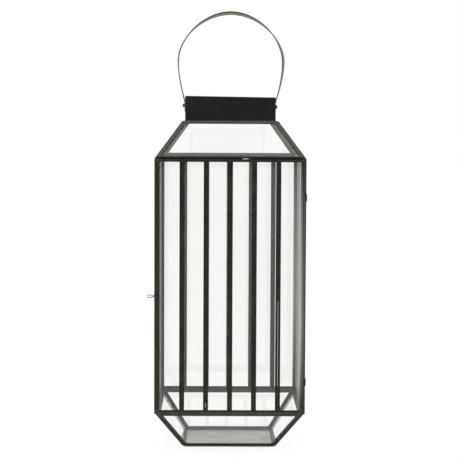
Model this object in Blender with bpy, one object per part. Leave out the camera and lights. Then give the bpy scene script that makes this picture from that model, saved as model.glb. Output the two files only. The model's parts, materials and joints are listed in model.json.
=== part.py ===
"""Hurricane candle lantern: a tall square glass lantern with a barred door and a strap handle.

Every pane of glass sits in its own U-shaped came (a folded metal edging), and the framed panes stand
edge to edge: four sloped panes on a square base plate, two side walls, a back wall and a door of six
narrow panes each, four sloped roof panes and a square collar that carries the handle.

Frame: metres, +Z up, origin at the centre of the base plate's underside, door facing -Y.
"""

import math

import bmesh
import bpy
from mathutils import Matrix, Vector

MM = 0.001
GAP = 0.3 * MM  # clearance wherever two pieces meet

# Came: a U section, its mouth towards the pane
CAME_DEPTH = 3.2 * MM
CAME_LIP = 0.4 * MM
CAME_WEB = 0.65 * MM
CAME_CHAMFER = 0.35 * MM
WALL_FLANGE = 2.85 * MM  # face width of the cames on the upright walls
GLASS_THICKNESS = CAME_DEPTH - 2 * (CAME_LIP + GAP)

# Upright body
BODY_HALF = 90 * MM
BODY_BOTTOM = 48 * MM
BODY_TOP = 350.9 * MM
STRIP_PITCH = 28.6 * MM
STRIP_COUNT = 6
STRIP_SEAM = 0.3 * MM
INFILL_HALF = BODY_HALF - CAME_DEPTH - 0.4 * MM  # half width of the door and of the back wall
DOOR_BOTTOM = 48.2 * MM
DOOR_TOP = 350.3 * MM

# Base plate and lower slopes
BASE_HALF = 55 * MM
BASE_THICKNESS = 1 * MM
BASE_CORNER = 1.2 * MM
LOWER_FOOT = BASE_THICKNESS + GAP
LOWER_FOOT_HALF = 56.2 * MM
LOWER_TOP = 47.6 * MM
LOWER_TOP_HALF = 89.5 * MM
LOWER_FLANGES = [2.4 * MM, 3.2 * MM, 5 * MM, 3.2 * MM]  # face widths of the cames: foot, hip, head, hip

# Roof slopes and collar
ROOF_FOOT = 353.2 * MM
ROOF_TOP = 396 * MM
ROOF_FOOT_HALF = 88.6 * MM
ROOF_TOP_HALF = 57.3 * MM
ROOF_FLANGES = [2.2 * MM, 4.5 * MM, 2.8 * MM, 4.5 * MM]  # foot, hip, head, hip
COLLAR_HALF = 54.5 * MM
COLLAR_TOP = 425 * MM
COLLAR_WALL = 1 * MM
COLLAR_HEM = 3 * MM
COLLAR_CORNER = 1.6 * MM

# Handle: a steel strap on two rivets
PIVOT_HEIGHT = 414.1 * MM
TILT = math.radians(0.8)  # the rivets and the collar's rim are not quite level
HANDLE_LEAN = math.radians(10)  # the strap leans back
STRAP_WIDTH = 15 * MM
STRAP_THICKNESS = 1.2 * MM
STRAP_EDGE = 0.25 * MM
LEFT_TWIST = (math.radians(12), 44 * MM, 84 * MM)  # most twist; over the pivot, where it starts and is full
RIGHT_TWIST = (math.radians(16), 10 * MM, 74 * MM)
PIVOT_HALF = COLLAR_HALF + GAP + STRAP_THICKNESS / 2
SHOULDER_HALF = 65 * MM
SHOULDER_HEIGHT = 56.5 * MM
CROWN_HEIGHT = 117.3 * MM
RIVET_RADIUS = 1.6 * MM
RIVET_HEAD_RADIUS = 2.7 * MM
RIVET_DOME = 2.3 * MM
RIVET_HOLE = RIVET_RADIUS + GAP

# Door hinges, on the right-hand front edge
HINGE_HEIGHTS = {"upper": 306 * MM, "lower": 86 * MM}
KNUCKLE_OUTER = 1.45 * MM
KNUCKLE_BORE = 0.95 * MM
KNUCKLE_LENGTH = 3.75 * MM
LEAF_LENGTH = 6 * MM
HINGE_PIN_RADIUS = KNUCKLE_BORE - GAP
HINGE_X = BODY_HALF + GAP - KNUCKLE_BORE
HINGE_Y = -BODY_HALF - GAP - KNUCKLE_OUTER

# Latch, on the left-hand front edge
LATCH_HEIGHT = 188 * MM
LATCH_X = -89.6 * MM
LATCH_Y = -92.3 * MM
LATCH_WIRE = 0.5 * MM  # radius of the loop's wire
LATCH_BARREL = 1.25 * MM
LATCH_BORE = 0.8 * MM
LATCH_NECK = 0.65 * MM  # half distance between the two wires of the neck
LATCH_EYE = 1.6 * MM  # radius of the eye's round ends, on the wire's centre
LATCH_EYE_NEAR = 5.3 * MM
LATCH_EYE_FAR = 6.5 * MM
CATCH_RADIUS = 0.5 * MM

SIDES = {"front": 0.0, "right": 90.0, "back": 180.0, "left": 270.0}
ROUND_SIDES = 24

COLOURS = {
    "blackened_came": ((0.030, 0.026, 0.022), 0.45, 0.85),
    "black_collar": ((0.016, 0.015, 0.014), 0.60, 0.30),
    "galvanised_sheet": ((0.42, 0.42, 0.38), 0.50, 0.90),
    "strap_steel": ((0.22, 0.20, 0.18), 0.35, 1.00),
    "latch_wire": ((0.40, 0.36, 0.33), 0.30, 1.00),
    "dark_hardware": ((0.022, 0.020, 0.018), 0.50, 0.80),
}


# ---------------------------------------------------------------- materials and objects

def opaque_material(name):
    """A metal from the colour table."""
    colour, roughness, metallic = COLOURS[name]
    material = bpy.data.materials.new(name)
    material.use_nodes = True
    shader = material.node_tree.nodes["Principled BSDF"]
    shader.inputs["Base Color"].default_value = (*colour, 1)
    shader.inputs["Roughness"].default_value = roughness
    shader.inputs["Metallic"].default_value = metallic
    return material


def glass_material():
    """Clear window glass."""
    material = bpy.data.materials.new("pane_glass")
    material.use_nodes = True
    shader = material.node_tree.nodes["Principled BSDF"]
    shader.inputs["Base Color"].default_value = (0.93, 0.97, 0.95, 1)
    shader.inputs["Roughness"].default_value = 0.02
    shader.inputs["Metallic"].default_value = 0
    shader.inputs["Transmission Weight"].default_value = 1
    shader.inputs["IOR"].default_value = 1.5
    return material


def add_object(name, bm, material, location=(0, 0, 0), rotation=(0, 0, 0), parent=None, smooth=False):
    """Turn a bmesh into a named object; its location and rotation are relative to its parent."""
    bmesh.ops.recalc_face_normals(bm, faces=bm.faces)
    mesh = bpy.data.meshes.new(name)
    bm.to_mesh(mesh)
    bm.free()
    mesh.materials.append(material)
    if smooth:
        mesh.shade_smooth()
        mesh.set_sharp_from_angle(angle=math.radians(35))
    obj = bpy.data.objects.new(name, mesh)
    bpy.context.scene.collection.objects.link(obj)
    obj.parent = parent
    obj.location = location
    obj.rotation_euler = rotation
    return obj


def add_axis(name, location, rotation=(0, 0, 0)):
    """An empty on a joint's axis, which the moving pieces are parented to."""
    axis = bpy.data.objects.new(name, None)
    bpy.context.scene.collection.objects.link(axis)
    axis.location = location
    axis.rotation_euler = rotation
    return axis


def apply_boolean(target, tool, operation):
    """Join a tool to the target or cut it away, and remove the tool."""
    modifier = target.modifiers.new(operation, "BOOLEAN")
    modifier.object = tool
    modifier.operation = operation
    modifier.solver = "EXACT"
    bpy.context.view_layer.update()
    evaluated = target.evaluated_get(bpy.context.evaluated_depsgraph_get())
    result = bpy.data.meshes.new_from_object(evaluated)
    target.modifiers.clear()
    target.data = result
    bpy.data.objects.remove(tool)


# ---------------------------------------------------------------- shapes

def loft_rings(bm, rings, closed):
    """Skin equal rings of points with quads; closed joins the last ring to the first."""
    rows = [[bm.verts.new(point) for point in ring] for ring in rings]
    steps = len(rows) if closed else len(rows) - 1
    for index in range(steps):
        row, following = rows[index], rows[(index + 1) % len(rows)]
        for place in range(len(row)):
            beside = (place + 1) % len(row)
            bm.faces.new((row[place], row[beside], following[beside], following[place]))
    if not closed:
        bm.faces.new(rows[0])
        bm.faces.new(rows[-1])
    return bm


def box(low, high):
    """A plain block between two corners."""
    bm = bmesh.new()
    rings = []
    for z in (low[2], high[2]):
        corners = [(low[0], low[1]), (high[0], low[1]), (high[0], high[1]), (low[0], high[1])]
        rings.append([(x, y, z) for x, y in corners])
    return loft_rings(bm, rings, closed=False)


def turned(profile, sides=ROUND_SIDES):
    """A solid turned about Z from (radius, height) points, closed by flat ends."""
    bm = bmesh.new()
    rings = []
    for radius, height in profile:
        turns = [2 * math.pi * step / sides for step in range(sides)]
        rings.append([(radius * math.cos(turn), radius * math.sin(turn), height) for turn in turns])
    return loft_rings(bm, rings, closed=False)


def arc(radius, start, end, steps):
    """Points on an arc about the origin, angles in degrees."""
    turns = [math.radians(start + (end - start) * step / steps) for step in range(steps + 1)]
    return [Vector((radius * math.cos(turn), radius * math.sin(turn))) for turn in turns]


def extruded(outline, low, high):
    """A flat outline extruded along Z."""
    bm = bmesh.new()
    return loft_rings(bm, [[(x, y, z) for x, y in outline] for z in (low, high)], closed=False)


def bezier(points, steps):
    """Points along a cubic Bezier curve, its first point left out."""
    start, first, second, end = [Vector(point) for point in points]
    result = []
    for step in range(1, steps + 1):
        t = step / steps
        s = 1 - t
        result.append(s**3 * start + 3 * s * s * t * first + 3 * s * t * t * second + t**3 * end)
    return result


def inset_outline(outline, insets):
    """Move each edge of an anticlockwise outline inwards by its own inset; return the new corners."""
    lines = []
    for index, start in enumerate(outline):
        end = outline[(index + 1) % len(outline)]
        direction = (end - start).normalized()
        inward = Vector((-direction.y, direction.x))
        lines.append((start + inward * insets[index], direction))
    corners = []
    for index, (point, direction) in enumerate(lines):
        before, heading = lines[index - 1]
        across = heading.cross(direction)
        corners.append(before + heading * ((point - before).cross(direction) / across))
    return corners


# ---------------------------------------------------------------- panes and their cames

def ring_at(outline, insets, depth, mitres):
    """The outline moved in by each edge's inset, and by its mitre times the depth behind the face."""
    corners = inset_outline(outline, [inset + mitre * depth for inset, mitre in zip(insets, mitres)])
    return [(corner.x, depth, corner.y) for corner in corners]


def came_mesh(outline, mitres, flanges):
    """A U-shaped came round a pane. Local X and Z span the pane, and Y runs in behind its face."""
    back = CAME_DEPTH
    shell = [(CAME_CHAMFER, back), (0, back - CAME_CHAMFER), (0, CAME_CHAMFER), (CAME_CHAMFER, 0)]
    web = [CAME_WEB] * 4
    mouth = [(flanges, 0), (flanges, CAME_LIP), (web, CAME_LIP)]
    mouth += [(web, back - CAME_LIP), (flanges, back - CAME_LIP), (flanges, back)]
    inner_mitres = [max(mitre, 0) for mitre in mitres]
    rings = [ring_at(outline, [inset] * 4, depth, mitres) for inset, depth in shell]
    rings += [ring_at(outline, insets, depth, inner_mitres) for insets, depth in mouth]
    return loft_rings(bmesh.new(), rings, closed=True)


def glass_mesh(outline, mitres):
    """The pane that the came holds, clear of it on every side."""
    inner_mitres = [max(mitre, 0) for mitre in mitres]
    front = CAME_LIP + GAP
    depths = (front, front + GLASS_THICKNESS)
    rings = [ring_at(outline, [CAME_WEB + GAP] * 4, depth, inner_mitres) for depth in depths]
    return loft_rings(bmesh.new(), rings, closed=False)


def add_pane(names, outline, materials, side=0.0, foot=(0.0, 0.0), lean=0.0, mitres=(0, 0, 0, 0),
             flanges=(WALL_FLANGE,) * 4, parent=None):
    """One framed pane. foot is (distance out from the middle, height); lean tips its head outwards."""
    turn = Matrix.Rotation(math.radians(side), 4, "Z")
    location = turn @ Vector((0, -foot[0], foot[1]))
    if parent:
        location = location - parent.location
    rotation = (lean, 0, math.radians(side))
    came, glass = materials
    add_object(names[0], came_mesh(outline, mitres, flanges), came, location, rotation, parent)
    add_object(names[1], glass_mesh(outline, mitres), glass, location, rotation, parent)


def rectangle(left, right, bottom, top):
    """An anticlockwise rectangle."""
    return [Vector(corner) for corner in ((left, bottom), (right, bottom), (right, top), (left, top))]


def add_sloped_ring(label, foot_half, foot, top_half, top, materials, flanges, square_foot):
    """Four framed trapezoids on mitred hips; the heads are level, and so are the feet unless square."""
    run = foot_half - top_half
    slope = math.hypot(run, top - foot)
    inward, upward = run / slope, (top - foot) / slope
    hip_mitre = upward / math.hypot(1, inward)
    level_mitre = inward / upward
    foot_mitre = 0 if square_foot else level_mitre
    mitres = (foot_mitre, hip_mitre, -level_mitre, hip_mitre)
    hip_gap = GAP / 2 * math.sqrt(2)
    feet, heads = foot_half - hip_gap, top_half - hip_gap
    outline = [Vector(corner) for corner in ((-feet, 0), (feet, 0), (heads, slope), (-heads, slope))]
    for side, angle in SIDES.items():
        add_pane(
            (f"{label}_frame_{side}", f"{label}_glass_{side}"),
            outline,
            materials,
            side=angle,
            foot=(foot_half, foot),
            lean=-math.asin(inward),
            mitres=mitres,
            flanges=flanges,
        )


def add_side_walls(materials):
    """The two unbarred walls, which run the full depth of the body."""
    outline = rectangle(-BODY_HALF, BODY_HALF, 0, BODY_TOP - BODY_BOTTOM)
    for side in ("left", "right"):
        names = (f"side_frame_{side}", f"side_glass_{side}")
        add_pane(names, outline, materials, side=SIDES[side], foot=(BODY_HALF, BODY_BOTTOM))


def add_strip_wall(label, materials, side, bottom, top, parent=None):
    """A wall of six narrow framed panes; the two outer ones reach the wall's edges."""
    for index in range(STRIP_COUNT):
        left = (index - STRIP_COUNT / 2) * STRIP_PITCH + STRIP_SEAM / 2
        right = left + STRIP_PITCH - STRIP_SEAM
        if index == 0:
            left = -INFILL_HALF
        if index == STRIP_COUNT - 1:
            right = INFILL_HALF
        names = (f"{label}_pane_frame_{index + 1}", f"{label}_glass_{index + 1}")
        outline = rectangle(left, right, 0, top - bottom)
        add_pane(names, outline, materials, side=side, foot=(BODY_HALF, bottom), parent=parent)


# ---------------------------------------------------------------- base plate and collar

def rounded_square(half, radius):
    """An anticlockwise square with round corners."""
    corners = []
    for start, (x, y) in zip((0, 90, 180, 270), ((1, 1), (-1, 1), (-1, -1), (1, -1))):
        centre = Vector((x, y)) * (half - radius)
        corners += [centre + point for point in arc(radius, start, start + 90, 4)]
    return corners


def add_base_plate(sheet):
    """The sheet that the lower slopes stand on and the candle rests on."""
    outline = rounded_square(BASE_HALF, BASE_CORNER)
    add_object("base_plate", extruded(outline, 0, BASE_THICKNESS), sheet)


def add_collar(material, axis):
    """An open square tube, its rim a little out of level and hemmed inwards, drilled for the rivets."""
    foot = ROOF_TOP + GAP
    section = [(0, foot), (0, COLLAR_TOP), (COLLAR_HEM, COLLAR_TOP), (COLLAR_HEM, COLLAR_TOP - COLLAR_WALL)]
    section += [(COLLAR_WALL, COLLAR_TOP - COLLAR_WALL), (COLLAR_WALL, foot)]
    rings = []
    for inset, height in section:
        radius = max(COLLAR_CORNER - inset, 0.3 * MM)
        outline = rounded_square(COLLAR_HALF - inset, radius)
        fall = math.tan(TILT) if height > foot else 0
        rings.append([(point.x, point.y, height - fall * point.x) for point in outline])
    collar = add_object("collar", loft_rings(bmesh.new(), rings, closed=True), material, smooth=True)
    apply_boolean(collar, rivet_drill(material, axis), "DIFFERENCE")


def rivet_drill(material, axis):
    """A rod through both rivet holes, used as a cutter."""
    reach = PIVOT_HALF + 5 * MM
    rod = turned([(RIVET_HOLE, -reach), (RIVET_HOLE, reach)])
    return add_object("rivet_drill", rod, material, rotation=(0, math.pi / 2, 0), parent=axis)


# ---------------------------------------------------------------- handle

def strap_half():
    """Half of the strap, from its round end to just short of the crown: (out, up, half width)."""
    rows = []
    for degrees in (80, 60, 40, 20):
        turn = math.radians(degrees)
        rows.append((PIVOT_HALF, -math.sin(turn) * STRAP_WIDTH / 2, math.cos(turn) * STRAP_WIDTH / 2))
    rows.append((PIVOT_HALF, 0, STRAP_WIDTH / 2))
    leg_start = (PIVOT_HALF, 2.4 * MM)
    leg = [leg_start, (58 * MM, 14 * MM), (SHOULDER_HALF, 34 * MM), (SHOULDER_HALF, SHOULDER_HEIGHT)]
    rise = CROWN_HEIGHT - SHOULDER_HEIGHT
    arch = [leg[-1], (SHOULDER_HALF, SHOULDER_HEIGHT + rise / 2), (SHOULDER_HALF / 2, CROWN_HEIGHT)]
    arch.append((0, CROWN_HEIGHT))
    curve = [Vector(leg_start)] + bezier(leg, 10) + bezier(arch, 14)
    return rows + [(point.x, point.y, STRAP_WIDTH / 2) for point in curve]


def strap_twist(out, up):
    """Twist of the bent strap: none at the rivets and the crown, most at its two shoulders."""
    most, start, full = RIGHT_TWIST if out > 0 else LEFT_TWIST
    rising = min(max((up - start) / (full - start), 0), 1)
    spread = min(abs(out) / SHOULDER_HALF, 1)
    return most * rising * spread**2


def strap_section(place, tangent, half_width, twist):
    """A flat section with broken edges, across the strap's path in the XZ plane."""
    along = Vector((tangent.x, 0, tangent.y))
    outward = Vector((-tangent.y, 0, tangent.x))
    turn = Matrix.Rotation(twist, 3, along)
    across, outward = turn @ Vector((0, 1, 0)), turn @ outward
    half, thick = half_width, STRAP_THICKNESS / 2
    corners = []
    for side, face in ((1, 1), (-1, 1), (-1, -1), (1, -1)):
        pair = [(half - STRAP_EDGE, thick), (half, thick - STRAP_EDGE)]
        if side * face > 0:
            pair.reverse()
        corners += [(side * width, face * depth) for width, depth in pair]
    centre = Vector((place.x, 0, place.y))
    return [centre + across * width + outward * depth for width, depth in corners]


def add_strap(material, axis):
    """The bowed strap, one closed piece, drilled for its rivets."""
    half = strap_half()
    rows = [(-out, up, width) for out, up, width in half] + half[-2::-1]
    rings = []
    for index, (out, up, width) in enumerate(rows):
        before = Vector(rows[max(index - 1, 0)][:2])
        after = Vector(rows[min(index + 1, len(rows) - 1)][:2])
        tangent = (after - before).normalized()
        rings.append(strap_section(Vector((out, up)), tangent, width, strap_twist(out, up)))
    bm = loft_rings(bmesh.new(), rings, closed=False)
    rotation = (HANDLE_LEAN * -1, 0, 0)
    strap = add_object("handle_strap", bm, material, rotation=rotation, parent=axis, smooth=True)
    apply_boolean(strap, rivet_drill(material, axis), "DIFFERENCE")


def add_rivets(material, axis):
    """Domed outside, bucked flat inside the collar."""
    inner_head = COLLAR_HALF - COLLAR_WALL - GAP
    outer_head = PIVOT_HALF + STRAP_THICKNESS / 2 + GAP
    head = RIVET_HEAD_RADIUS
    profile = [(head - 0.5 * MM, inner_head - 1.2 * MM), (head, inner_head - 0.8 * MM), (head, inner_head)]
    profile += [(RIVET_RADIUS, inner_head), (RIVET_RADIUS, outer_head), (head, outer_head)]
    for degrees in (15, 35, 55, 75):
        turn = math.radians(degrees)
        profile.append((head * math.cos(turn), outer_head + RIVET_DOME * math.sin(turn)))
    for side, turn in (("right", math.pi / 2), ("left", -math.pi / 2)):
        name = f"handle_rivet_{side}"
        add_object(name, turned(profile), material, rotation=(0, turn, 0), parent=axis, smooth=True)


# ---------------------------------------------------------------- hinges

def rolled_leaf(low):
    """A flat leaf on the +X side of the pin, running to +Y, rolled three quarters round the pin."""
    outer = arc(KNUCKLE_OUTER, 0, -270, 18)
    inner = arc(KNUCKLE_BORE, -270, 0, 18)
    outline = [Vector((KNUCKLE_OUTER, LEAF_LENGTH))] + outer + inner + [Vector((KNUCKLE_BORE, LEAF_LENGTH))]
    return extruded(outline, low, low + KNUCKLE_LENGTH)


def add_hinges(material, door_axis):
    """Two pinned hinges: a leaf on the side wall, a leaf on the door and a headed pin."""
    head, reach = 1.3 * MM, GAP / 2 + KNUCKLE_LENGTH + GAP
    pin = [(head - 0.15 * MM, -reach - 0.4 * MM), (head, -reach - 0.2 * MM), (head, -reach)]
    pin += [(HINGE_PIN_RADIUS, -reach), (HINGE_PIN_RADIUS, reach)]
    pin += [(head, reach), (head, reach + 0.2 * MM), (head - 0.15 * MM, reach + 0.4 * MM)]
    for label, height in HINGE_HEIGHTS.items():
        place = Vector((HINGE_X, HINGE_Y, height))
        below = rolled_leaf(-GAP / 2 - KNUCKLE_LENGTH)
        above = rolled_leaf(GAP / 2)
        add_object(f"hinge_frame_leaf_{label}", below, material, place, smooth=True)
        add_object(
            f"hinge_door_leaf_{label}",
            above,
            material,
            place - door_axis.location,
            (0, 0, math.pi / 2),
            door_axis,
            smooth=True,
        )
        add_object(f"hinge_pin_{label}", turned(pin), material, place, smooth=True)


# ---------------------------------------------------------------- latch

def wire_along(path, radius, sides=10):
    """A round wire along a path in the XZ plane."""
    rings = []
    for index, point in enumerate(path):
        before, after = path[max(index - 1, 0)], path[min(index + 1, len(path) - 1)]
        tangent = (after - before).normalized()
        outward = Vector((-tangent.y, 0, tangent.x))
        centre = Vector((point.x, 0, point.y))
        ring = []
        for step in range(sides):
            turn = 2 * math.pi * step / sides
            ring.append(centre + outward * radius * math.cos(turn) + Vector((0, radius * math.sin(turn), 0)))
        rings.append(ring)
    return loft_rings(bmesh.new(), rings, closed=False)


def add_latch_loop(material):
    """A wire link: a long eye and a neck whose ends are joined to a barrel on the staple's rod."""
    upper_neck = [(-1.02 * MM, LATCH_NECK), (-2.4 * MM, LATCH_NECK)]
    swell = [upper_neck[-1], (-3.4 * MM, LATCH_NECK), (-4.0 * MM, LATCH_EYE), (-LATCH_EYE_NEAR, LATCH_EYE)]
    half = [Vector(point) for point in upper_neck] + bezier(swell, 6)
    end = [Vector((-LATCH_EYE_FAR, 0)) + point for point in arc(LATCH_EYE, 90, 180, 6)]
    upper = half + end
    lower = [Vector((point.x, -point.y)) for point in reversed(upper[:-1])]
    place = (LATCH_X, LATCH_Y, LATCH_HEIGHT)
    wire = add_object("latch_loop_wire", wire_along(upper + lower, LATCH_WIRE), material, place)
    half_height = 1.2 * MM
    outer = [(LATCH_BARREL, -half_height), (LATCH_BARREL, half_height)]
    inner = [(LATCH_BORE, half_height), (LATCH_BORE, -half_height)]
    rings = []
    for radius, height in outer + inner:
        ring = arc(radius, 0, 360, ROUND_SIDES)[:-1]
        rings.append([(point.x, point.y, height) for point in ring])
    barrel = loft_rings(bmesh.new(), rings, closed=True)
    loop = add_object("latch_loop", barrel, material, place, smooth=True)
    apply_boolean(loop, wire, "UNION")
    loop.data.set_sharp_from_angle(angle=math.radians(35))


def add_latch_staple(material):
    """A pad on the corner of the frame with two lugs that hold the loop's rod."""
    place = Vector((LATCH_X, LATCH_Y, LATCH_HEIGHT))
    face = -BODY_HALF - GAP - LATCH_Y
    pad = box((-0.3 * MM, face - 0.5 * MM, -3.2 * MM), (2.6 * MM, face, 3.2 * MM))
    staple = add_object("latch_staple", pad, material, place)
    for low in (-2.3 * MM, 1.5 * MM):
        lug = box((-0.6 * MM, -0.7 * MM, low), (0.6 * MM, face - 0.2 * MM, low + 0.8 * MM))
        apply_boolean(staple, add_object("lug", lug, material, place), "UNION")
    rod_radius = LATCH_BORE - GAP
    rod = turned([(rod_radius, -2.7 * MM), (rod_radius, 2.7 * MM)])
    apply_boolean(staple, add_object("rod", rod, material, place), "UNION")


def add_latch_catch(material, door_axis):
    """A small knob on the door's stile, which the loop's eye drops over."""
    flange = 0.7 * MM
    profile = [(flange, 0), (flange, 0.4 * MM), (CATCH_RADIUS, 0.6 * MM), (CATCH_RADIUS, 2.7 * MM)]
    profile += [(CATCH_RADIUS * 0.8, 2.95 * MM), (CATCH_RADIUS * 0.4, 3.1 * MM)]
    place = Vector((LATCH_X + LATCH_EYE_NEAR, -BODY_HALF - GAP, LATCH_HEIGHT))
    knob = turned(profile, 16)
    location = place - door_axis.location
    add_object("latch_catch", knob, material, location, (math.pi / 2, 0, 0), door_axis, smooth=True)


# ---------------------------------------------------------------- the lantern

def build():
    """Model the whole lantern."""
    for obj in list(bpy.data.objects):
        bpy.data.objects.remove(obj)
    metal = {name: opaque_material(name) for name in COLOURS}
    pane = (metal["blackened_came"], glass_material())
    door_axis = add_axis("door_axis", Vector((HINGE_X, HINGE_Y, DOOR_BOTTOM)))
    handle_axis = add_axis("handle_axis", (0, 0, PIVOT_HEIGHT), (0, TILT, 0))
    bpy.context.view_layer.update()

    add_base_plate(metal["galvanised_sheet"])
    lower = (LOWER_FOOT_HALF, LOWER_FOOT, LOWER_TOP_HALF, LOWER_TOP)
    add_sloped_ring("lower", *lower, pane, LOWER_FLANGES, square_foot=False)
    add_side_walls(pane)
    add_strip_wall("back", pane, SIDES["back"], BODY_BOTTOM, BODY_TOP)
    roof = (ROOF_FOOT_HALF, ROOF_FOOT, ROOF_TOP_HALF, ROOF_TOP)
    add_sloped_ring("roof", *roof, pane, ROOF_FLANGES, square_foot=True)
    add_collar(metal["black_collar"], handle_axis)

    add_strip_wall("door", pane, SIDES["front"], DOOR_BOTTOM, DOOR_TOP, door_axis)
    add_hinges(metal["dark_hardware"], door_axis)
    add_latch_catch(metal["dark_hardware"], door_axis)

    add_latch_staple(metal["dark_hardware"])
    add_latch_loop(metal["latch_wire"])

    add_rivets(metal["dark_hardware"], handle_axis)
    add_strap(metal["strap_steel"], handle_axis)


build()
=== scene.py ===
"""Looks of the hurricane candle lantern: materials, solder work, light and camera round its CAD frame."""

import json
import math

import bmesh
import bpy
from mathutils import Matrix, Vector, noise

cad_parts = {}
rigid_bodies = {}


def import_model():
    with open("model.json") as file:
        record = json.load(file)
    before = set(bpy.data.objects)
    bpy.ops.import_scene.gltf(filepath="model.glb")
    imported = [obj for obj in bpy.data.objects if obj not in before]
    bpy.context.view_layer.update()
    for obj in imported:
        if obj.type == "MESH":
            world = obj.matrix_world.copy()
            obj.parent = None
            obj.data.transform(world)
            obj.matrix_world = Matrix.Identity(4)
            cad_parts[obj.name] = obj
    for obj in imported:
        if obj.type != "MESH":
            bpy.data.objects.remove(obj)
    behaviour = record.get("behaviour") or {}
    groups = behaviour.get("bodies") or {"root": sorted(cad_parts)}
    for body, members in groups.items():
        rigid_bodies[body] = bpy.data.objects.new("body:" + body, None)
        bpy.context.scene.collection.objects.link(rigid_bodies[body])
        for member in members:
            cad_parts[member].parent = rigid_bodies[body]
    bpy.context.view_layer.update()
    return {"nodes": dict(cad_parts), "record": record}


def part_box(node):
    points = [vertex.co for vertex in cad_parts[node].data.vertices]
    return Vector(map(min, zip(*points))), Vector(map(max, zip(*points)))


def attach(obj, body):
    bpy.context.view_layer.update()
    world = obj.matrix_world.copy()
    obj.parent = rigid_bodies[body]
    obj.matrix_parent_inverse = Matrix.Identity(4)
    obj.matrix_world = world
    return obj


for leftover in list(bpy.data.objects):
    bpy.data.objects.remove(leftover)

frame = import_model()

MM = 0.001
NODES = frame["nodes"]
SIDES = {"front": (0, -1), "right": (1, 0), "back": (0, 1), "left": (-1, 0)}
STRIPS = range(1, 7)
CLOSED_SIDES = ("right", "back", "left")
WALL_LOW, WALL_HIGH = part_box("side_frame_right")
HALF = WALL_HIGH.x
BEHIND_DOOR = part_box("door_pane_frame_1")[1].y + 0.9 * MM

# Camera, as fitted to the lantern's straight edges
LENS = 125.95
SENSOR = 36.0
CAMERA_PLACE = Vector((-0.01798, -1.99238, 0.3957))
CAMERA_PITCH = math.radians(3.87)  # downwards
CAMERA_YAW = math.radians(-0.533)
CAMERA_ROLL = math.radians(0.246)

# Handle strap, as in the CAD
HANDLE_LEAN = math.radians(10)
PIVOT_HEIGHT = 414.1 * MM
STRAP_HALF_WIDTH = 7.5 * MM

# Looks
HEIGHT_SPAN = 400 * MM  # the height at which a colour ramp over the height ends
HALF_SPAN = 100 * MM  # the same for the distance from the middle
OFF_CORNER = 82.5 * MM  # the corner posts lie further out than this in both x and y
RUBBED = (0.70, 0.68, 0.64)  # bare metal

# Edges
METAL_ROUND = 0.14 * MM
SHEET_ROUND = 0.22 * MM
SHARP = math.radians(30)
WELD_REACH = 0.004 * MM

# Solder
BEAD_PITCH = 1.6 * MM
SEAM_WIDTH = 1.25 * MM
SEAM_HEIGHT = 0.16 * MM
PATCH_RADIUS = 1.9 * MM
PATCH_INSET = 1.6 * MM  # from the wall's foot or head to the middle of a patch
PATCH_SHIFT = 1.2 * MM
HIP_WIDTH = 1.7 * MM
HIP_HEIGHT = 0.3 * MM
SINK = 0.45 * MM
LUMP_LENGTH = 4.5 * MM
RIPPLE_LENGTH = 1.9 * MM
DRIFT_LENGTH = 9 * MM
OPEN_SEAM = 5  # the door seam with a gap left in its solder
OPEN_SEAM_HEIGHTS = (80 * MM, 182 * MM)
MISSED_SEAM = 2  # the door seam with a short miss
MISSED_SEAM_HEIGHTS = (54.5 * MM, 60 * MM)


# ---------------------------------------------------------------- materials

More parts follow.
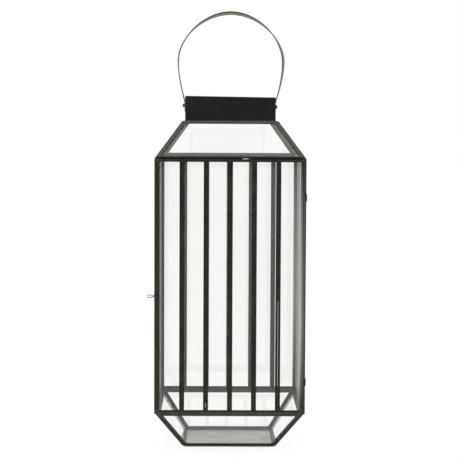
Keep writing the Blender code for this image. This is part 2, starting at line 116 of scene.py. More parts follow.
class Surface:
    """A material's node tree, with short ways to add the nodes used here. Coordinates are in metres."""

    def __init__(self, name):
        self.material = bpy.data.materials.new(name)
        self.material.use_nodes = True
        self.tree = self.material.node_tree
        self.shader = self.tree.nodes["Principled BSDF"]
        coordinates = self.tree.nodes.new("ShaderNodeTexCoord")
        self.place = coordinates.outputs["Object"]
        self.normal = coordinates.outputs["Normal"]

    def plug(self, socket, value):
        """Link an output to a socket, or set the socket's own value."""
        if isinstance(value, bpy.types.NodeSocket):
            self.tree.links.new(value, socket)
        else:
            socket.default_value = value

    def maths(self, operation, first, second=0.0, clamp=False):
        node = self.tree.nodes.new("ShaderNodeMath")
        node.operation = operation
        node.use_clamp = clamp
        self.plug(node.inputs[0], first)
        self.plug(node.inputs[1], second)
        return node.outputs[0]

    def times(self, first, second, clamp=False):
        return self.maths("MULTIPLY", first, second, clamp)

    def vector(self, operation, first, second=(0, 0, 0)):
        node = self.tree.nodes.new("ShaderNodeVectorMath")
        node.operation = operation
        self.plug(node.inputs[0], first)
        self.plug(node.inputs[1], second)
        return node.outputs["Value" if operation == "DOT_PRODUCT" else "Vector"]

    def axes(self, vector):
        """The x, y and z of a vector."""
        node = self.tree.nodes.new("ShaderNodeSeparateXYZ")
        self.plug(node.inputs[0], vector)
        return node.outputs

    def height(self):
        """Height above the table, as a share of HEIGHT_SPAN."""
        return self.times(self.axes(self.place)[2], 1 / HEIGHT_SPAN)

    def mapped(self, scale, rotation=(0, 0, 0)):
        node = self.tree.nodes.new("ShaderNodeMapping")
        node.inputs["Rotation"].default_value = rotation
        node.inputs["Scale"].default_value = scale
        self.tree.links.new(self.place, node.inputs["Vector"])
        return node.outputs[0]

    def noise(self, scale, detail=3.0, rough=0.55, where=None, twist=0.0):
        node = self.tree.nodes.new("ShaderNodeTexNoise")
        self.plug(node.inputs["Vector"], where or self.place)
        node.inputs["Scale"].default_value = scale
        node.inputs["Detail"].default_value = detail
        node.inputs["Roughness"].default_value = rough
        node.inputs["Distortion"].default_value = twist
        return node.outputs["Fac"]

    def cells(self, scale):
        """A random colour for each crystal."""
        node = self.tree.nodes.new("ShaderNodeTexVoronoi")
        self.plug(node.inputs["Vector"], self.place)
        node.inputs["Scale"].default_value = scale
        return node.outputs["Color"]

    def ramp(self, factor, stops):
        """A colour ramp; a stop is (place, number) or (place, colour)."""
        node = self.tree.nodes.new("ShaderNodeValToRGB")
        elements = node.color_ramp.elements
        while len(elements) < len(stops):
            elements.new(0.5)
        for element, (place, value) in zip(elements, stops):
            element.position = place
            element.color = (*value, 1) if isinstance(value, tuple) else (value, value, value, 1)
        self.plug(node.inputs[0], factor)
        return node.outputs["Color"]

    def mix(self, factor, first, second):
        node = self.tree.nodes.new("ShaderNodeMix")
        node.data_type = "RGBA"
        self.plug(node.inputs[0], factor)
        for socket, value in ((node.inputs[6], first), (node.inputs[7], second)):
            self.plug(socket, (*value, 1) if isinstance(value, tuple) else value)
        return node.outputs[2]

    def mix_shaders(self, factor, first, second):
        node = self.tree.nodes.new("ShaderNodeMixShader")
        for socket, value in zip(node.inputs, (factor, first, second)):
            self.plug(socket, value)
        return node.outputs[0]

    def edges(self, radius):
        """1 on edges, 0 on flat metal."""
        rounded = self.tree.nodes.new("ShaderNodeBevel")
        rounded.samples = 4
        rounded.inputs["Radius"].default_value = radius
        flat = self.tree.nodes.new("ShaderNodeNewGeometry")
        turned = self.vector("DOT_PRODUCT", rounded.outputs[0], flat.outputs["True Normal"])
        return self.times(self.maths("SUBTRACT", 1.0, turned), 5.0, clamp=True)

    def inward(self):
        """1 where the surface looks in at the lantern's middle, 0 where it looks out or along the wall."""
        level = self.vector("NORMALIZE", self.vector("MULTIPLY", self.place, (1, 1, 0)))
        facing = self.vector("DOT_PRODUCT", level, self.normal)
        return self.times(self.maths("SUBTRACT", -0.15, facing), 2.5, clamp=True)

    def off_corners(self):
        """0 at the upright corners, 1 elsewhere."""
        x, y = self.axes(self.place)[:2]
        across = self.maths("MINIMUM", self.maths("ABSOLUTE", x), self.maths("ABSOLUTE", y))
        return self.times(self.maths("SUBTRACT", OFF_CORNER, across), 1 / MM, clamp=True)

    def less_tarnished(self):
        """How bare the inner faces are: least low on the walls and beside the upright corners."""
        by_height = self.ramp(self.height(), [(0.03, 1.0), (0.07, 0.16), (0.30, 0.22), (0.72, 0.9)])
        return self.times(self.off_corners(), by_height)

    def beside_hinges(self):
        """How rubbed the front of the door's hinged stile is: most on its inner edge and low down."""
        x = self.times(self.axes(self.place)[0], 1 / HALF_SPAN)
        across = self.ramp(x, [(0.822, 0.0), (0.828, 0.95), (0.862, 0.55), (0.890, 0.0)])
        by_height = self.ramp(
            self.height(),
            [(0.13, 0.0), (0.22, 0.35), (0.38, 0.85), (0.58, 0.65), (0.75, 0.35), (0.87, 0.0)],
        )
        front = self.times(self.vector("DOT_PRODUCT", self.normal, (0, -1, 0)), 1.0, clamp=True)
        return self.times(self.times(across, by_height), front)

    def painted_slope_light(self):
        """Painted light on sloped faces: 0 on upright faces, the foot and low inner faces; up to 1 on faces
        leaning up to the light from above, and less on faces leaning down.
        """
        upward = self.times(self.maths("ADD", self.axes(self.normal)[2], 1.0), 0.5)
        lean = self.ramp(upward, [(0.15, 0.35), (0.30, 0.35), (0.46, 0.0), (0.56, 0.0), (0.75, 0.95)])
        height = self.height()
        inside = self.times(self.inward(), self.ramp(height, [(0.2, 1.0), (0.8, 0.0)]))
        off_foot = self.maths("SUBTRACT", self.ramp(height, [(0.006, 0.0), (0.02, 1.0)]), inside, clamp=True)
        return self.times(lean, off_foot)

    def grazing(self):
        """0 seen square on, 1 seen along the surface."""
        node = self.tree.nodes.new("ShaderNodeLayerWeight")
        node.inputs["Blend"].default_value = 0.5
        return node.outputs["Facing"]

    def bump(self, height, strength, distance):
        node = self.tree.nodes.new("ShaderNodeBump")
        node.inputs["Strength"].default_value = strength
        node.inputs["Distance"].default_value = distance
        self.plug(node.inputs["Height"], height)
        self.plug(self.shader.inputs["Normal"], node.outputs[0])

    def finish(self, colour, rough, metallic):
        self.plug(self.shader.inputs["Base Color"], colour)
        self.plug(self.shader.inputs["Roughness"], rough)
        self.shader.inputs["Metallic"].default_value = metallic
        return self.material


def patina(name, bared, lumps):
    """Blackened came or solder: warm black outside, some bare grey metal on edges and on the inside; a
    lighter tone painted where faces slope to the light, and dark patina with painted shade along the inner
    edges.
    """
    s = Surface(name)
    blotch = s.noise(75, detail=5)
    fine = s.noise(700, detail=4, rough=0.65)
    tone = s.ramp(blotch, [
        (0.30, (0.017, 0.0152, 0.0132)),
        (0.52, (0.029, 0.0252, 0.0210)),
        (0.72, (0.050, 0.041, 0.033)),
    ])
    tone = s.mix(s.ramp(fine, [(0.38, 0.0), (0.75, 0.55)]), tone, (0.062, 0.055, 0.049))
    handled = s.maths("SUBTRACT", 0.75, s.off_corners(), clamp=True)
    handled_tone = s.ramp(fine, [(0.35, (0.040, 0.034, 0.028)), (0.7, (0.085, 0.074, 0.063))])
    tone = s.mix(handled, tone, handled_tone)
    # Painted light: a lighter tone on faces that lean up to the light from above, and less on faces leaning
    # down.
    painted_slope_light_tone = s.ramp(fine, [(0.35, (0.040, 0.038, 0.033)), (0.7, (0.100, 0.097, 0.086))])
    tone = s.mix(s.painted_slope_light(), tone, painted_slope_light_tone)
    bare_tone = s.ramp(fine, [
        (0.30, (0.04, 0.042, 0.045)),
        (0.55, (0.11, 0.113, 0.118)),
        (0.75, (0.27, 0.27, 0.27)),
    ])
    in_roof = s.ramp(s.height(), [(0.878, 0.0), (0.882, 1.0)])
    streak = s.mix(in_roof, s.noise(1.0, detail=3, where=s.mapped((760, 760, 45))), fine)
    bare = s.times(s.inward(), s.ramp(streak, [(0.40, 0.05 * bared), (0.56, bared)]))
    colour = s.mix(s.times(bare, s.less_tarnished()), tone, bare_tone)
    # Dark inner edges: partly patina at the came's lips, partly painted shadow of the glass.
    rim = s.times(s.edges(2.4 * MM), s.inward())
    colour = s.mix(s.times(rim, 0.9), colour, (0.010, 0.012, 0.016))
    colour = s.mix(s.beside_hinges(), colour, RUBBED)
    worn = s.times(s.edges(0.35 * MM), s.ramp(s.noise(260, detail=4), [(0.45, 0.0), (0.65, 0.35)]))
    colour = s.mix(worn, colour, (0.09, 0.084, 0.078))
    rough = s.ramp(s.noise(180, detail=4), [(0.3, 0.34), (0.7, 0.55)])
    s.bump(s.noise(900, detail=3), lumps, 0.12 * MM)
    return s.finish(colour, rough, 0.9)


def bright_solder():
    """A touch of fresh solder that took no patina."""
    s = Surface("bright_solder")
    colour = s.ramp(s.noise(600, detail=4), [(0.3, (0.16, 0.15, 0.14)), (0.7, (0.42, 0.41, 0.40))])
    s.bump(s.noise(800), 0.3, 0.1 * MM)
    return s.finish(colour, s.ramp(s.noise(400), [(0.3, 0.25), (0.7, 0.42)]), 0.95)


def black_paint():
    """The collar's matt black paint, rubbed on its edges and lightly scratched."""
    s = Surface("black_paint")
    cloud = s.noise(45, detail=4)
    colour = s.ramp(cloud, [(0.3, (0.0042, 0.0039, 0.0036)), (0.7, (0.0085, 0.0079, 0.0073))])
    scratch = s.noise(1.0, detail=4, rough=0.7, where=s.mapped((70, 70, 1500)))
    colour = s.mix(s.ramp(scratch, [(0.64, 0.0), (0.74, 0.35)]), colour, (0.030, 0.028, 0.026))
    worn = s.times(s.edges(0.5 * MM), s.ramp(s.noise(210, detail=4), [(0.45, 0.0), (0.65, 0.6)]))
    colour = s.mix(worn, colour, (0.13, 0.12, 0.11))
    s.bump(s.noise(1600, detail=2), 0.25, 0.06 * MM)
    s.shader.inputs["Specular IOR Level"].default_value = 0.3
    return s.finish(colour, s.ramp(cloud, [(0.3, 0.46), (0.7, 0.60)]), 0.2)


def galvanised():
    """Zinc-coated sheet with its frost-like spangle, dulled by wax and soot."""
    s = Surface("galvanised_sheet")
    spangle = s.mix(0.5, s.cells(115), s.cells(260))
    grey = s.tree.nodes.new("ShaderNodeRGBToBW")
    s.plug(grey.inputs[0], spangle)
    colour = s.ramp(grey.outputs[0], [(0.25, (0.42, 0.42, 0.375)), (0.75, (0.60, 0.60, 0.54))])
    stain = s.ramp(s.noise(34, detail=5, rough=0.6, twist=0.6), [(0.45, 0.0), (0.72, 0.5)])
    colour = s.mix(stain, colour, (0.26, 0.255, 0.215))
    specks = s.ramp(s.noise(900, detail=2), [(0.70, 0.0), (0.76, 0.5)])
    colour = s.mix(specks, colour, (0.10, 0.095, 0.08))
    s.bump(s.mix(0.6, s.noise(120, detail=3), s.noise(1200)), 0.25, 0.15 * MM)
    return s.finish(colour, s.ramp(grey.outputs[0], [(0.2, 0.38), (0.8, 0.56)]), 0.8)


def brushed_strap():
    """Steel brushed along the strap, darkened along its two edges near the crown."""
    s = Surface("strap_steel")
    along = s.mapped((14, 1900, 14), rotation=(-HANDLE_LEAN, 0, 0))
    hair = s.noise(1.0, detail=4, rough=0.7, where=along)
    colour = s.ramp(hair, [(0.3, (0.120, 0.110, 0.099)), (0.7, (0.205, 0.190, 0.173))])
    tarnish = s.ramp(s.noise(55, detail=4, twist=0.5), [(0.42, 0.0), (0.75, 0.6)])
    colour = s.mix(tarnish, colour, (0.080, 0.072, 0.063))
    across = (0, math.cos(HANDLE_LEAN), -math.sin(HANDLE_LEAN))
    off_middle = s.vector("DOT_PRODUCT", s.place, across)
    off_middle = s.maths("ADD", off_middle, PIVOT_HEIGHT * math.sin(HANDLE_LEAN))
    rim = s.times(s.maths("ABSOLUTE", off_middle), 1 / STRAP_HALF_WIDTH)
    rise = s.times(s.axes(s.place)[2], 1.8)
    crown = s.ramp(rise, [(0.80, 0.15), (0.90, 1.0)])  # from 444 to 500 mm up
    rim = s.times(s.ramp(rim, [(0.35, 0.0), (0.80, 0.9)]), crown)
    colour = s.mix(rim, colour, (0.030, 0.026, 0.022))
    s.bump(hair, 0.18, 0.05 * MM)
    s.shader.inputs["Specular Tint"].default_value = (0.76, 0.72, 0.67, 1)
    return s.finish(colour, s.ramp(hair, [(0.25, 0.24), (0.75, 0.40)]), 1.0)


def plain_wire():
    """Drawn steel wire with a little tarnish."""
    s = Surface("latch_wire")
    colour = s.ramp(s.noise(700, detail=3), [(0.3, (0.13, 0.115, 0.102)), (0.7, (0.26, 0.24, 0.22))])
    s.bump(s.noise(2500), 0.15, 0.04 * MM)
    return s.finish(colour, s.ramp(s.noise(900), [(0.3, 0.22), (0.7, 0.38)]), 1.0)


def dark_hardware():
    """Blackened steel of the hinges, rivets and latch fittings, bright where it rubs."""
    s = Surface("dark_hardware")
    colour = s.ramp(s.noise(350, detail=4), [(0.3, (0.020, 0.017, 0.014)), (0.7, (0.055, 0.046, 0.038))])
    worn = s.times(s.edges(0.3 * MM), s.ramp(s.noise(500), [(0.4, 0.1), (0.6, 0.8)]))
    colour = s.mix(worn, colour, (0.26, 0.23, 0.20))
    colour = s.mix(s.beside_hinges(), colour, RUBBED)
    s.bump(s.noise(1800), 0.3, 0.06 * MM)
    return s.finish(colour, s.ramp(s.noise(420), [(0.3, 0.32), (0.7, 0.50)]), 0.9)


def window_glass():
    """Drawn sheet glass: clear, faintly green and wavy, with a grey film that shows at a grazing angle:
    partly a fine dusting, partly a painted reflection.
    Lamps shine straight through it."""
    s = Surface("pane_glass")
    s.shader.inputs["IOR"].default_value = 1.5
    tint = s.ramp(s.noise(22, detail=4), [(0.3, (0.928, 0.936, 0.922)), (0.7, (0.948, 0.955, 0.944))])
    height = s.height()
    smear = s.noise(1.0, detail=3, where=s.mapped((160, 160, 5)))
    # Grey film seen at a grazing angle: partly dust, partly a painted reflection of the glass seen edge-on.
    dust_and_painted_reflection = s.ramp(s.grazing(), [(0.78, 0.0), (0.95, 1.0)])
    dust_and_painted_reflection = s.times(dust_and_painted_reflection, s.ramp(smear, [(0.3, 0.55), (0.7, 0.9)]))
    dust_and_painted_reflection = s.times(dust_and_painted_reflection, s.ramp(height, [(0.115, 0.12), (0.16, 1.0), (0.86, 1.0), (0.90, 0.5)]))
    tint = s.mix(dust_and_painted_reflection, tint, (0.25, 0.26, 0.255))
    waves = s.noise(1.0, detail=1, where=s.mapped((30, 30, 11)))
    s.bump(s.times(waves, s.ramp(height, [(0.870, 1.0), (0.876, 0.0)])), 0.1, 0.35 * MM)
    s.shader.inputs["Transmission Weight"].default_value = 1.0
    s.shader.inputs["Specular IOR Level"].default_value = 0.0
    material = s.finish(tint, 0.012, 0.0)
    # The grey diffuse film: dust and painted reflection.
    film = s.tree.nodes.new("ShaderNodeBsdfDiffuse")
    s.plug(film.inputs["Color"], tint)
    clear = s.tree.nodes.new("ShaderNodeBsdfTransparent")
    clear.inputs["Color"].default_value = (0.90, 0.915, 0.905, 1)
    rays = s.tree.nodes.new("ShaderNodeLightPath")
    glass_with_dust_and_reflection = s.mix_shaders(dust_and_painted_reflection, s.shader.outputs[0], film.outputs[0])
    surface = s.mix_shaders(rays.outputs["Is Shadow Ray"], glass_with_dust_and_reflection, clear.outputs[0])
    s.plug(s.tree.nodes["Material Output"].inputs["Surface"], surface)
    return material


MATERIALS = {
    "came_metal": patina("blackened_came", bared=0.9, lumps=0.35),
    "collar_metal": black_paint(),
    "plate_metal": galvanised(),
    "strap_metal": brushed_strap(),
    "latch_metal": plain_wire(),
    "hardware_metal": dark_hardware(),
    "pane_glass": window_glass(),
}
SOLDER = patina("blackened_solder", bared=0.35, lumps=0.6)
BRIGHT_SOLDER = bright_solder()


def dress_cad_nodes():
    """Give every CAD node its material, and every metal one softly rounded edges."""
    for part in frame["record"]["subparts"]:
        node = NODES[part["node"]]
        slot = part["material_slot"]
        node.data.materials.clear()
        node.data.materials.append(MATERIALS[slot])
        if slot == "pane_glass":
            continue
        weld = node.modifiers.new("weld", "WELD")
        weld.merge_threshold = WELD_REACH
        bevel = node.modifiers.new("rounded", "BEVEL")
        bevel.width = SHEET_ROUND if slot in ("collar_metal", "strap_metal") else METAL_ROUND
        bevel.segments = 2
        bevel.limit_method = "ANGLE"
        bevel.angle_limit = SHARP
        bevel.use_clamp_overlap = True
        node.modifiers.new("shading", "WEIGHTED_NORMAL")


# ---------------------------------------------------------------- pieces in mesh code

def add_piece(name, bm, material, body):
    """Turn a bmesh into a smooth piece that rides on a body."""
    bmesh.ops.recalc_face_normals(bm, faces=bm.faces)
    mesh = bpy.data.meshes.new(name)
    bm.to_mesh(mesh)
    bm.free()
    mesh.materials.append(material)
    mesh.shade_smooth()
    piece = bpy.data.objects.new(name, mesh)
    bpy.context.scene.collection.objects.link(piece)
    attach(piece, body)
    return piece


def skin(bm, rings):
    """Skin equal rings of points and close both ends."""
    rows = [[bm.verts.new(point) for point in ring] for ring in rings]
    for row, following in zip(rows, rows[1:]):
        for place in range(len(row)):
            beside = (place + 1) % len(row)
            bm.faces.new((row[place], row[beside], following[beside], following[place]))
    bm.faces.new(rows[0])
    bm.faces.new(rows[-1])


def add_bead(bm, start, end, outward, width, height, seed, sink=SINK, uneven=1.0):
    """A run of solder from start to end: a lumpy ridge, its underside sunk in the metal."""
    length = (end - start).length
    along = (end - start) / length
    outward = (outward - along * outward.dot(along)).normalized()
    across = outward.cross(along)
    steps = max(int(length / BEAD_PITCH), 4)
    rings = []
    for step in range(steps + 1):
        travel = length * step / steps
        lump = noise.noise(Vector((travel / LUMP_LENGTH, seed * 7.3, 0.5)))
        ripple = noise.noise(Vector((travel / RIPPLE_LENGTH, seed * 3.1, 4.5)))
        drift = noise.noise(Vector((travel / DRIFT_LENGTH, seed * 5.7, 9.5))) * width * 0.12 * uneven
        end_taper = min(1.0, 0.35 + min(travel, length - travel) / (1.2 * width))
        half = width / 2 * (1 + uneven * (0.22 * lump + 0.08 * ripple)) * end_taper
        rise = height * (1 + 0.45 * lump + 0.25 * ripple) * end_taper
        centre = start + along * travel + across * drift
        ring = []
        for turn in range(8):
            angle = math.pi * 2 * turn / 8
            up = math.sin(angle)
            lift = up * (rise if up > 0 else sink)
            ring.append(centre + across * half * math.cos(angle) + outward * lift)
        rings.append(ring)
    skin(bm, rings)


def add_blob(bm, centre, outward, radius, height, seed):
    """A small flattened drop of solder with an uneven rim."""
    outward = outward.normalized()
    side = outward.cross(Vector((0, 0, 1)) if abs(outward.z) < 0.8 else Vector((1, 0, 0))).normalized()
    other = outward.cross(side)
    rings = []
    for reach, level in ((0.75, -0.5), (1.0, 0.0), (0.86, 0.45), (0.6, 0.8), (0.25, 1.0)):
        ring = []
        for turn in range(12):
            angle = math.pi * 2 * turn / 12
            uneven = 1 + 0.28 * noise.noise(Vector((math.cos(angle), math.sin(angle), seed * 2.7)))
            flat = (side * math.cos(angle) + other * math.sin(angle)) * radius * reach * uneven
            ring.append(centre + flat + outward * height * level)
        rings.append(ring)
    skin(bm, rings)


def furthest(node, direction):
    """The CAD vertex furthest along a direction."""
    toward = Vector(direction)
    return max((vertex.co for vertex in NODES[node].data.vertices), key=toward.dot).copy()


def seams_between(label):
    """A barred wall's seams: the x of each, the y of the wall's two faces, and the z of its foot and head."""
    boxes = [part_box(f"{label}_pane_frame_{index}") for index in STRIPS]
    boxes.sort(key=lambda pair: pair[0].x)
    low, high = boxes[0]
    seams = [(before[1].x + after[0].x) / 2 for before, after in zip(boxes, boxes[1:])]
    return seams, (low.y, high.y), (low.z, high.z)


def add_seam_solder(label, body):
    """Solder in the seams of a barred wall, on both faces."""
    seams, faces, (foot, head) = seams_between(label)
    bm = bmesh.new()
    for number, x in enumerate(seams, 1):
        runs = [(foot + 0.5 * MM, head - 0.5 * MM)]
        gap = None
        if label == "door":
            gap = {OPEN_SEAM: OPEN_SEAM_HEIGHTS, MISSED_SEAM: MISSED_SEAM_HEIGHTS}.get(number)
        if gap:
            runs = [(runs[0][0], gap[0]), (gap[1], runs[0][1])]
        for face, outward in zip(faces, (Vector((0, -1, 0)), Vector((0, 1, 0)))):
            for run, (low, high) in enumerate(runs):
                seed = number + 10 * run + 30 * (outward.y > 0)
                ends = Vector((x, face, low)), Vector((x, face, high))
                add_bead(bm, *ends, outward, SEAM_WIDTH, SEAM_HEIGHT, seed)
    add_piece(f"{label}_seam_solder", bm, SOLDER, body)


def add_rail_patches(label, body, outward):
    """Flat patches of solder where the bars meet the top and bottom rails."""
    seams, faces, (foot, head) = seams_between(label)
    face = faces[0] if outward.y < 0 else faces[1]
    bm = bmesh.new()
    for number, x in enumerate(seams, 1):
        for row, z in enumerate((foot + PATCH_INSET, head - PATCH_INSET)):
            seed = number + 20 * row
            shift = noise.noise(Vector((seed * 1.7, 0.5, 0.5))) * PATCH_SHIFT
            add_blob(bm, Vector((x + shift, face, z)), outward, PATCH_RADIUS, SEAM_HEIGHT, seed)
    add_piece(f"{label}_rail_patches", bm, SOLDER, body)


def add_hip_solder(label):
    """Solder over the four mitred corners of a sloped ring."""
    bm = bmesh.new()
    seed = 50
    upward = 1 if label == "roof" else -1
    for x_sign in (-1, 1):
        for y_sign, side in ((-1, "front"), (1, "back")):
            node = f"{label}_frame_{side}"
            wide = furthest(node, (x_sign, y_sign, -0.3 * upward))
            narrow = furthest(node, (x_sign * 0.1, y_sign * 0.1, upward))
            outer = max(
                (v.co for v in NODES[node].data.vertices if abs(v.co.z - narrow.z) < 0.6 * MM),
                key=lambda point: point.x * x_sign + point.y * y_sign,
            ).copy()
            for end in (wide, outer):
                reach = (abs(end.x) + abs(end.y)) / 2
                end.x, end.y = x_sign * reach, y_sign * reach
            outward = Vector((x_sign, y_sign, 0.9 * upward))
            seed += 1
            add_bead(bm, wide, outer, outward, HIP_WIDTH, HIP_HEIGHT, seed, uneven=0.4)
    add_piece(f"{label}_hip_solder", bm, SOLDER, "lantern_frame")


def square_run(bm, half, z, outward_z, width, height, seed, sides=SIDES, trim=0.0):
    """Beads along the sides of a level square."""
    for side, (x, y) in SIDES.items():
        if side not in sides:
            continue
        out = Vector((x, y, 0))
        level = Vector((-y, x, 0))
        middle = out * half + Vector((0, 0, z))
        seed += 1
        ends = middle - level * (half - trim), middle + level * (half - trim)
        add_bead(bm, *ends, out + Vector((0, 0, outward_z)), width, height, seed)


def corner_blobs(bm, inset_x, inset_y, z, lean, radius, height, seed):
    """A blob of solder on each front corner, set in from the walls' faces."""
    for x_sign in (-1, 1):
        corner = Vector((x_sign * (HALF - inset_x), -HALF + inset_y, z))
        add_blob(bm, corner, Vector((x_sign, -1, lean)), radius, height, seed + x_sign)


def level_bead(bm, low_x, high_x, z, width, seed):
    """A bead along the back of the door's head, from low_x to high_x."""
    ends = Vector((low_x, BEHIND_DOOR, z)), Vector((high_x, BEHIND_DOOR, z))
    add_bead(bm, *ends, Vector((0, -1, 0)), width, 0.4 * MM, seed, sink=0.7 * MM)


def add_eave_solder():
    """Solder between the walls and the roof, and the fillers that leave a bright slit over the door."""
    bm = bmesh.new()
    eave = (WALL_HIGH.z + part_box("roof_frame_front")[0].z) / 2 + 0.5 * MM
    square_run(bm, HALF - 2.2 * MM, eave, 0.2, 2.6 * MM, 0.7 * MM, 80, CLOSED_SIDES, 2 * MM)
    corner_blobs(bm, 1.6 * MM, 1.4 * MM, eave + 0.2 * MM, 0.2, 1.5 * MM, 0.9 * MM, 90)
    head = WALL_HIGH.z + 0.4 * MM
    level_bead(bm, -HALF + 3.6 * MM, 14.5 * MM, head, 3.4 * MM, 95)
    level_bead(bm, 21 * MM, HALF - 3.6 * MM, head, 3.4 * MM, 96)
    level_bead(bm, 12 * MM, 24 * MM, head - 1.2 * MM, 1.7 * MM, 97)
    add_piece("eave_solder", bm, SOLDER, "lantern_frame")


def add_waist_solder():
    """Solder between the walls and the lower sloped ring, outside and in."""
    bm = bmesh.new()
    waist = (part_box("lower_frame_front")[1].z + WALL_LOW.z) / 2
    square_run(bm, HALF - 0.7 * MM, waist, -0.2, 1.5 * MM, 0.35 * MM, 100, CLOSED_SIDES, 1.5 * MM)
    square_run(bm, HALF - 3.4 * MM, waist, 0.0, 1.5 * MM, -0.25 * MM, 110, CLOSED_SIDES, 2 * MM)
    corner_blobs(bm, 0.9 * MM, 0.8 * MM, waist, -0.4, 1.6 * MM, 0.6 * MM, 120)
    add_piece("waist_solder", bm, SOLDER, "lantern_frame")


def add_foot_solder():
    """Solder round the base plate's edge."""
    bm = bmesh.new()
    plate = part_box("base_plate")[1]
    square_run(bm, plate.x - 0.1 * MM, plate.z + 0.15 * MM, 0, 1.1 * MM, 0.35 * MM, 130, trim=1.2 * MM)
    add_piece("foot_solder", bm, SOLDER, "lantern_frame")


def add_neck_solder():
    """Solder round the collar's foot."""
    bm = bmesh.new()
    low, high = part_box("collar")
    square_run(bm, high.x, low.z, 0.6, 1.1 * MM, 0.3 * MM, 140, trim=1.0 * MM)
    add_piece("neck_solder", bm, SOLDER, "lantern_frame")


def add_corner_solder():
    """Solder down the two back corners, outside and in."""
    bm = bmesh.new()
    back_low, back_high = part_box("back_pane_frame_1")
    seam_x = (back_high.x + WALL_LOW.x) / 2
    for x_sign in (-1, 1):
        outside = Vector((x_sign * seam_x, HALF, 0))
        inside = Vector((x_sign * (WALL_LOW.x - 0.1 * MM), back_low.y + 0.1 * MM, 0))
        for place, outward, width, height, seed in (
            (outside, Vector((0, 1, 0)), SEAM_WIDTH, SEAM_HEIGHT, 150),
            (inside, Vector((-x_sign, -1, 0)), 1.9 * MM, 0.45 * MM, 155),
        ):
            low = place + Vector((0, 0, WALL_LOW.z + 0.5 * MM))
            high = place + Vector((0, 0, WALL_HIGH.z - 0.5 * MM))
            add_bead(bm, low, high, outward, width, height, seed + x_sign)
    add_piece("corner_solder", bm, SOLDER, "lantern_frame")


def add_door_stops():
    """The dark beads behind the door's two upright edges."""
    bm = bmesh.new()
    for x_sign in (-1, 1):
        place = Vector((x_sign * (HALF - 3.5 * MM), BEHIND_DOOR, 0))
        low = place + Vector((0, 0, WALL_LOW.z + 3 * MM))
        high = place + Vector((0, 0, WALL_HIGH.z - 3 * MM))
        add_bead(bm, low, high, Vector((0, -1, 0)), 1.3 * MM, 0.35 * MM, 170 + x_sign)
    add_piece("door_stops", bm, SOLDER, "lantern_frame")


def add_bright_spot():
    """The touch of solder that took no patina, at the foot of the left front post."""
    bm = bmesh.new()
    post = Vector((-HALF + 1.3 * MM, -HALF, WALL_LOW.z + 1.9 * MM))
    add_blob(bm, post, Vector((0, -1, 0)), 0.75 * MM, 0.3 * MM, 160)
    add_piece("bright_solder_spots", bm, BRIGHT_SOLDER, "lantern_frame")


# ---------------------------------------------------------------- studio

def add_floor():
    """A plain white floor, lit from below as well, like the opal sheet of a product table."""
    bm = bmesh.new()
    bmesh.ops.create_grid(bm, x_segments=8, y_segments=8, size=12)
    mesh = bpy.data.meshes.new("studio_floor")
    bm.to_mesh(mesh)
    bm.free()
    s = Surface("studio_floor")
    colour = s.ramp(s.noise(3.0, detail=2), [(0.3, 0.115), (0.7, 0.125)])
    s.shader.inputs["Specular IOR Level"].default_value = 0.0
    s.shader.inputs["Emission Color"].default_value = (1, 1, 1, 1)
    s.shader.inputs["Emission Strength"].default_value = 0.885
    mesh.materials.append(s.finish(colour, 0.9, 0.0))
    floor = bpy.data.objects.new("studio_floor", mesh)
    bpy.context.scene.collection.objects.link(floor)


def add_softbox(name, place, aim, width, height, power):
    """A rectangular area light that looks at a point."""
    light = bpy.data.lights.new(name, "AREA")
    light.shape = "RECTANGLE"
    light.size, light.size_y = width, height
    light.energy = power
    box = bpy.data.objects.new(name, light)
    bpy.context.scene.collection.objects.link(box)
    box.location = place
    box.rotation_euler = (Vector(aim) - Vector(place)).to_track_quat("-Z", "Y").to_euler()
    box.visible_camera = False
    box.visible_transmission = False


def add_skylight():
    """A broad, soft light from straight above, the same everywhere, so that the floor stays white."""
    light = bpy.data.lights.new("skylight", "SUN")
    light.energy = 1.1
    light.angle = math.radians(120)
    sky = bpy.data.objects.new("skylight", light)
    bpy.context.scene.collection.objects.link(sky)
    sky.location = (0, 0, 3)


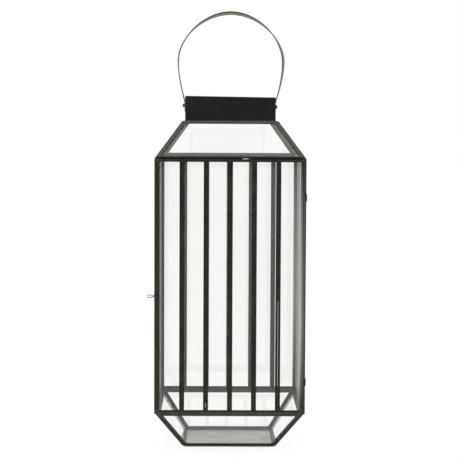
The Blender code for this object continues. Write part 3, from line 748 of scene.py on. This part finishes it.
def add_world():
    """White all round, dimmer on the side of the front so that upright metal stays dark."""
    world = bpy.data.worlds.new("studio")
    bpy.context.scene.world = world
    world.use_nodes = True
    tree = world.node_tree
    background = tree.nodes["Background"]
    coordinates = tree.nodes.new("ShaderNodeTexCoord")
    split = tree.nodes.new("ShaderNodeSeparateXYZ")
    tree.links.new(coordinates.outputs["Generated"], split.inputs[0])
    fall = tree.nodes.new("ShaderNodeMapRange")
    fall.interpolation_type = "SMOOTHSTEP"
    for socket, value in zip(fall.inputs[1:5], (-0.75, 0.1, 0.30, 1.0)):
        socket.default_value = value
    tree.links.new(split.outputs["Y"], fall.inputs[0])
    rays = tree.nodes.new("ShaderNodeLightPath")
    seen = tree.nodes.new("ShaderNodeMath")  # plain white where it is seen, directly or through glass
    seen.operation = "MAXIMUM"
    tree.links.new(rays.outputs["Is Camera Ray"], seen.inputs[0])
    tree.links.new(rays.outputs["Is Transmission Ray"], seen.inputs[1])
    strength = tree.nodes.new("ShaderNodeMath")
    strength.operation = "MAXIMUM"
    tree.links.new(seen.outputs[0], strength.inputs[0])
    tree.links.new(fall.outputs[0], strength.inputs[1])
    tree.links.new(strength.outputs[0], background.inputs["Strength"])
    background.inputs["Color"].default_value = (1, 1, 1, 1)


def add_camera():
    """The camera stands in front, a little left of the middle, and looks slightly down."""
    camera = bpy.data.cameras.new("camera")
    camera.sensor_width = SENSOR
    camera.lens = LENS
    camera.clip_start = 0.05
    view = bpy.data.objects.new("camera", camera)
    bpy.context.scene.collection.objects.link(view)
    view.location = CAMERA_PLACE
    level = Vector((math.cos(CAMERA_YAW), math.sin(CAMERA_YAW), 0))
    forward = Vector((-math.sin(CAMERA_YAW) * math.cos(CAMERA_PITCH),
                      math.cos(CAMERA_YAW) * math.cos(CAMERA_PITCH),
                      -math.sin(CAMERA_PITCH)))
    upright = level.cross(forward)
    right = level * math.cos(CAMERA_ROLL) + upright * math.sin(CAMERA_ROLL)
    up = upright * math.cos(CAMERA_ROLL) - level * math.sin(CAMERA_ROLL)
    matrix = view.matrix_world.copy()
    for row in range(3):
        matrix[row][0], matrix[row][1], matrix[row][2] = right[row], up[row], -forward[row]
        matrix[row][3] = CAMERA_PLACE[row]
    view.matrix_world = matrix
    bpy.context.scene.camera = view


def add_studio():
    add_floor()
    add_skylight()
    add_softbox("top_softbox", (0, -0.25, 1.9), (0, 0, 0.3), 1.5, 1.3, 6)
    add_softbox("left_softbox", (-1.5, -0.6, 0.7), (0, 0, 0.3), 0.5, 1.2, 3)
    add_softbox("right_softbox", (1.6, 0.4, 0.7), (0, 0, 0.3), 0.5, 1.2, 2.5)
    add_world()
    bpy.context.scene.view_settings.view_transform = "Standard"
    bpy.context.scene.view_settings.look = "None"


# ---------------------------------------------------------------- the lantern

add_camera()
dress_cad_nodes()
add_seam_solder("door", "door")
add_seam_solder("back", "lantern_frame")
add_rail_patches("door", "door", Vector((0, -1, 0)))
add_rail_patches("back", "lantern_frame", Vector((0, 1, 0)))
add_hip_solder("roof")
add_hip_solder("lower")
add_eave_solder()
add_waist_solder()
add_foot_solder()
add_neck_solder()
add_corner_solder()
add_door_stops()
add_bright_spot()
add_studio()
